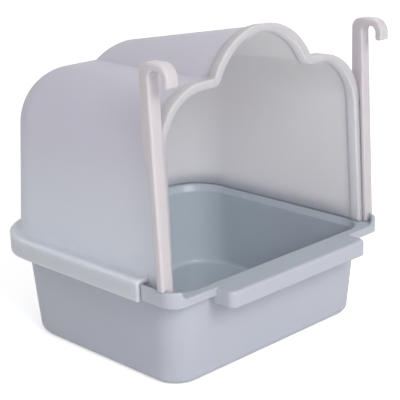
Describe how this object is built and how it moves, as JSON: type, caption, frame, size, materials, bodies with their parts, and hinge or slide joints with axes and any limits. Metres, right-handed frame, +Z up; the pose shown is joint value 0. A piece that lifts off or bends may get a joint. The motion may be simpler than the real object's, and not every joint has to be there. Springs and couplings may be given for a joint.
{
  "type": "cage bird bath",
  "caption": "Hanging bath for cage birds: a rimmed rectangular tray under a cloud-arched, open-fronted hood that lifts off, with hook arms and a hooked ledge for the cage bars.",
  "frame": {"origin": "on the underside of the tray, under the middle of the whole bath's bounding box", "axes": "+Z up; -Y is the way the open front, the hooks and the hooked ledge face; +X is to the right of someone who looks into the open front"},
  "size_m": [0.15, 0.1462, 0.1571],
  "materials": {
    "tray_plastic": "blue-grey moulded plastic, satin",
    "hood_plastic": "frosted translucent grey plastic",
    "arm_plastic": "off-white moulded plastic, satin"
  },
  "bodies": {
    "tray": {"tray": "tray_plastic"},
    "hood": {"hood": "hood_plastic", "left_hook_arm": "arm_plastic", "right_hook_arm": "arm_plastic"}
  },
  "joints": [
    {"name": "hood_lift", "type": "slide", "parent": "tray", "child": "hood", "axis": [0, 0, 1], "range_m": [0, 0.06]}
  ]
}
